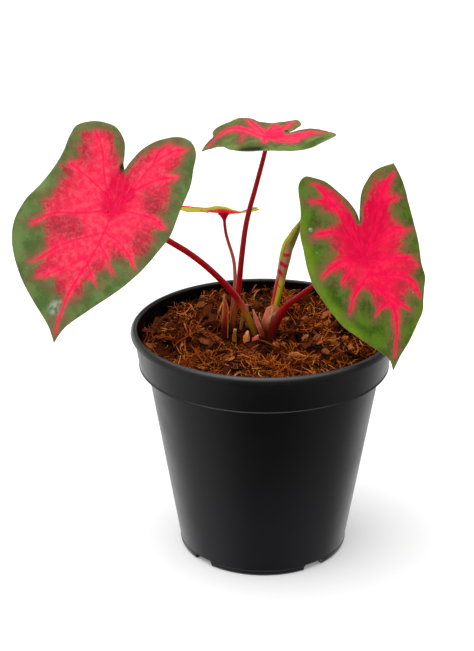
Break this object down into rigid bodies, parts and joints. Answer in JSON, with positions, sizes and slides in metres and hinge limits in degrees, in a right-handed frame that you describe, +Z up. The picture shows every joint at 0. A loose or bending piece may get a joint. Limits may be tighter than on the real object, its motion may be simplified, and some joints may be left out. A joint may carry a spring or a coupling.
{
  "type": "caladium in a nursery pot",
  "caption": "Potted caladium with heart-shaped, pink and green leaves on thin stalks, a rolled new leaf and potting mix in a round black nursery pot that stands on its foot.",
  "frame": {"origin": "middle of the pot's foot, on the surface that the pot stands on", "axes": "+Z up along the pot's axis; -Y is the front, from which the large left leaf shows its upper face; +X to the right"},
  "size_m": [0.1897, 0.13, 0.2242],
  "materials": {
    "pot_plastic": "satin",
    "potting_mix": "matte",
    "tuber_skin": "matte",
    "leaf_blade": "satin",
    "leaf_stalk": "satin",
    "young_leaf": "satin",
    "sheath": "satin",
    "bud": "satin",
    "old_stalk": "matte"
  },
  "bodies": {
    "root": {"pot": "pot_plastic", "soil": "potting_mix", "tuber": "tuber_skin", "leaf_left_blade": "leaf_blade", "leaf_left_stalk": "leaf_stalk", "leaf_right_blade": "leaf_blade", "leaf_right_stalk": "leaf_stalk", "leaf_top_blade": "leaf_blade", "leaf_top_stalk": "leaf_stalk", "leaf_back_blade": "leaf_blade", "leaf_back_stalk": "leaf_stalk", "leaf_rolled": "young_leaf", "sheath_wide": "sheath", "sheath_narrow": "sheath", "sheath_left": "sheath", "sheath_centre": "sheath", "bud_left": "bud", "bud_right": "bud", "stub_front": "old_stalk", "stub_back": "old_stalk"}
  },
  "joints": []
}
